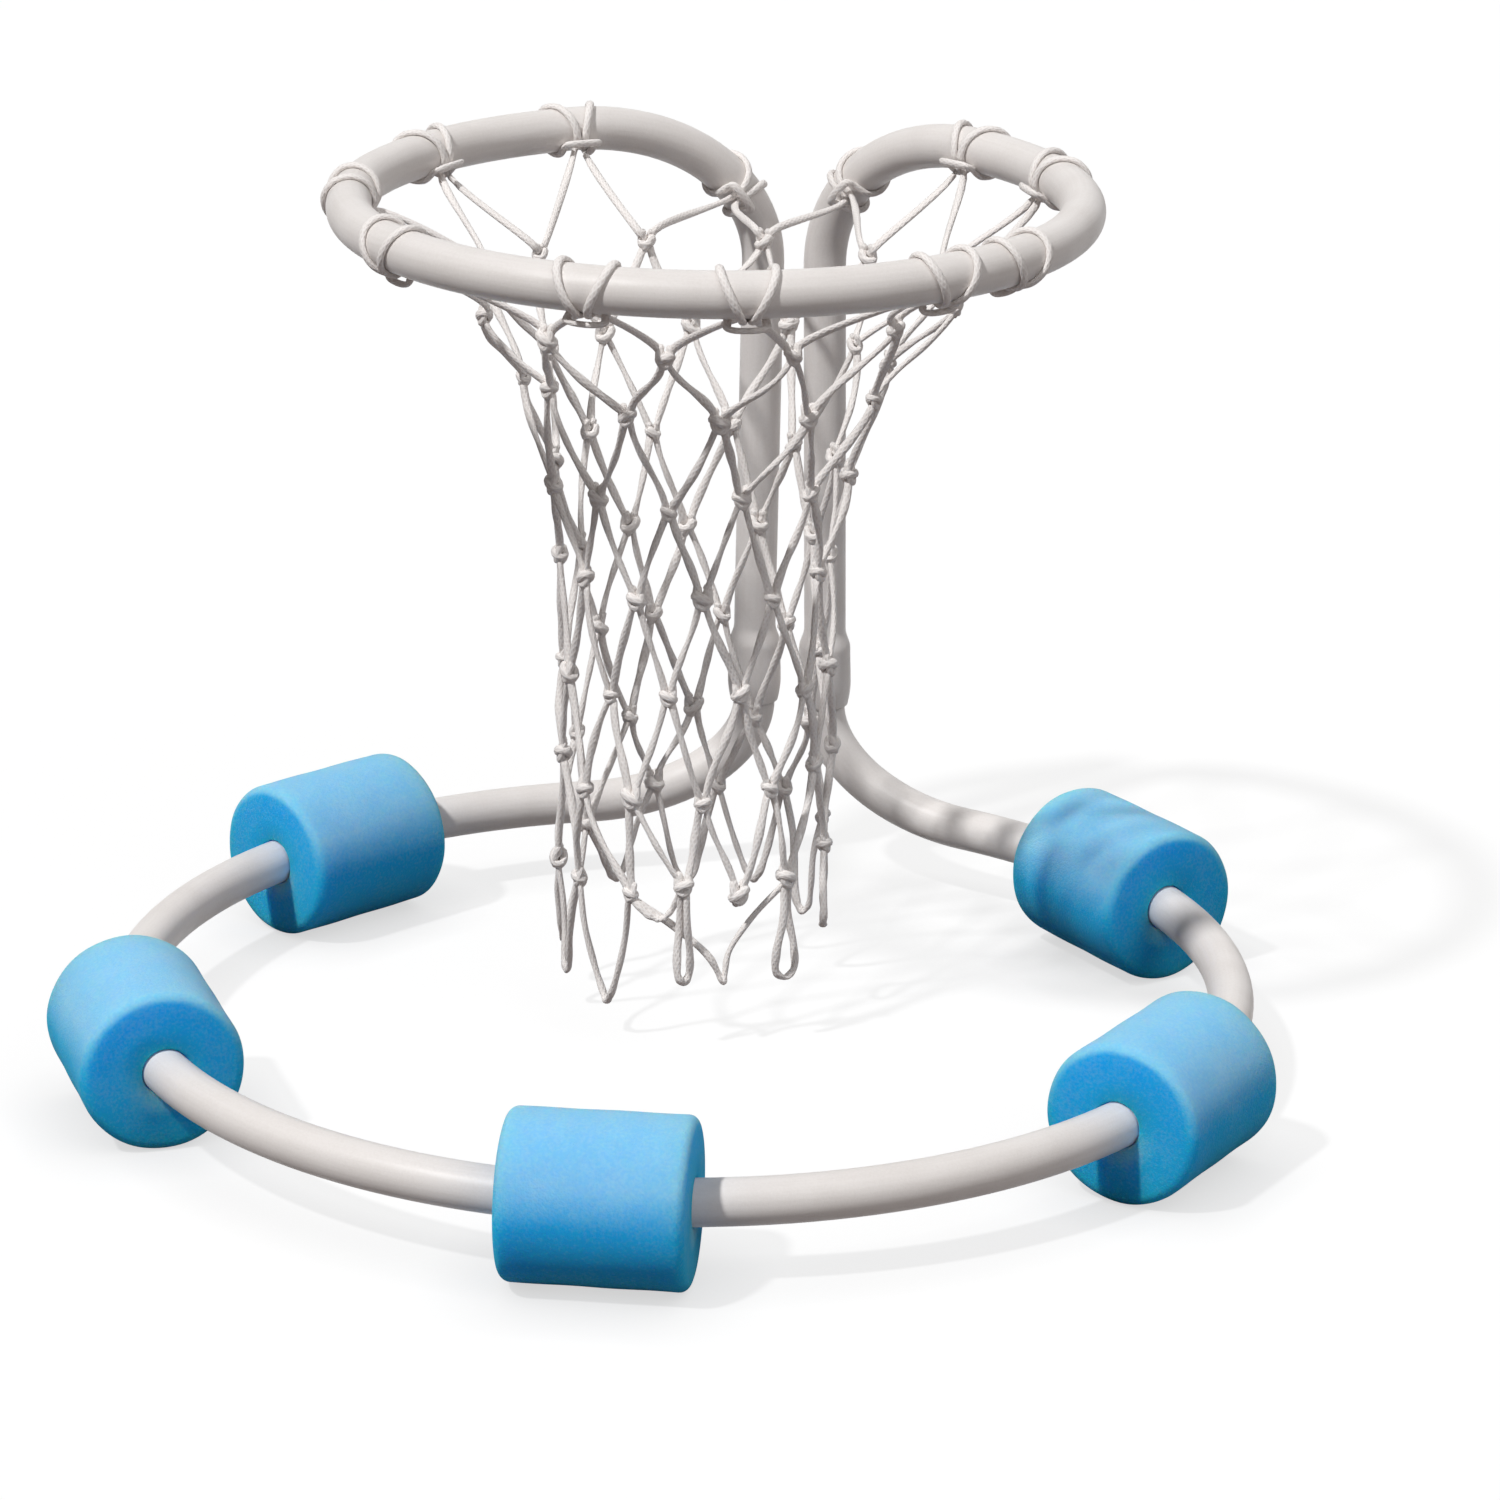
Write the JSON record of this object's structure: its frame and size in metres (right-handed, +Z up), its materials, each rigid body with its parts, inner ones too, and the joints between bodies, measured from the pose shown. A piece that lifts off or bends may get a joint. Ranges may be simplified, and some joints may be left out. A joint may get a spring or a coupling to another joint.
{
  "type": "poolside basketball hoop",
  "caption": "Bent tube basketball hoop with a knotted cord net, plugged into a floating ring of tube that carries foam floats.",
  "frame": {"origin": "middle of the footprint's bounding box, on the surface that the floats stand on", "axes": "+Z up, -Y towards the front of the rim, +Y towards the two uprights at the back, +X to the right for a viewer in front"},
  "size_m": [0.665, 0.6858, 0.4853],
  "materials": {
    "tube": "satin",
    "foam": "matte",
    "cord": "matte"
  },
  "bodies": {
    "base": {"base_tube_rear_right": "tube", "base_tube_right": "tube", "base_tube_front_right": "tube", "base_tube_front_left": "tube", "base_tube_left": "tube", "base_tube_rear_left": "tube"},
    "hoop": {"hoop_tube": "tube", "net": "cord", "net_hitch_01": "cord", "net_hitch_02": "cord", "net_hitch_03": "cord", "net_hitch_04": "cord", "net_hitch_05": "cord", "net_hitch_06": "cord", "net_hitch_07": "cord", "net_hitch_08": "cord", "net_hitch_09": "cord", "net_hitch_10": "cord", "net_hitch_11": "cord", "net_hitch_12": "cord"},
    "float_rear_right": {"float_rear_right": "foam"},
    "float_right": {"float_right": "foam"},
    "float_front": {"float_front": "foam"},
    "float_left": {"float_left": "foam"},
    "float_rear_left": {"float_rear_left": "foam"}
  },
  "joints": [
    {"name": "hoop_lift", "type": "slide", "parent": "base", "child": "hoop", "axis": [0, 0, 1], "range_m": [0, 0.06]},
    {"name": "float_rear_right_slide", "type": "hinge", "parent": "base", "child": "float_rear_right", "pos_m": [-0.00733, 0.00718, 0.045], "axis": [0, 0, -1], "range_deg": [-12, 16]},
    {"name": "float_right_slide", "type": "hinge", "parent": "base", "child": "float_right", "pos_m": [-0.00733, 0.00718, 0.045], "axis": [0, 0, -1], "range_deg": [-16, 16]},
    {"name": "float_front_slide", "type": "hinge", "parent": "base", "child": "float_front", "pos_m": [-0.00733, 0.00718, 0.045], "axis": [0, 0, -1], "range_deg": [-16, 16]},
    {"name": "float_left_slide", "type": "hinge", "parent": "base", "child": "float_left", "pos_m": [-0.00733, 0.00718, 0.045], "axis": [0, 0, -1], "range_deg": [-16, 16]},
    {"name": "float_rear_left_slide", "type": "hinge", "parent": "base", "child": "float_rear_left", "pos_m": [-0.00733, 0.00718, 0.045], "axis": [0, 0, -1], "range_deg": [-16, 12]}
  ]
}
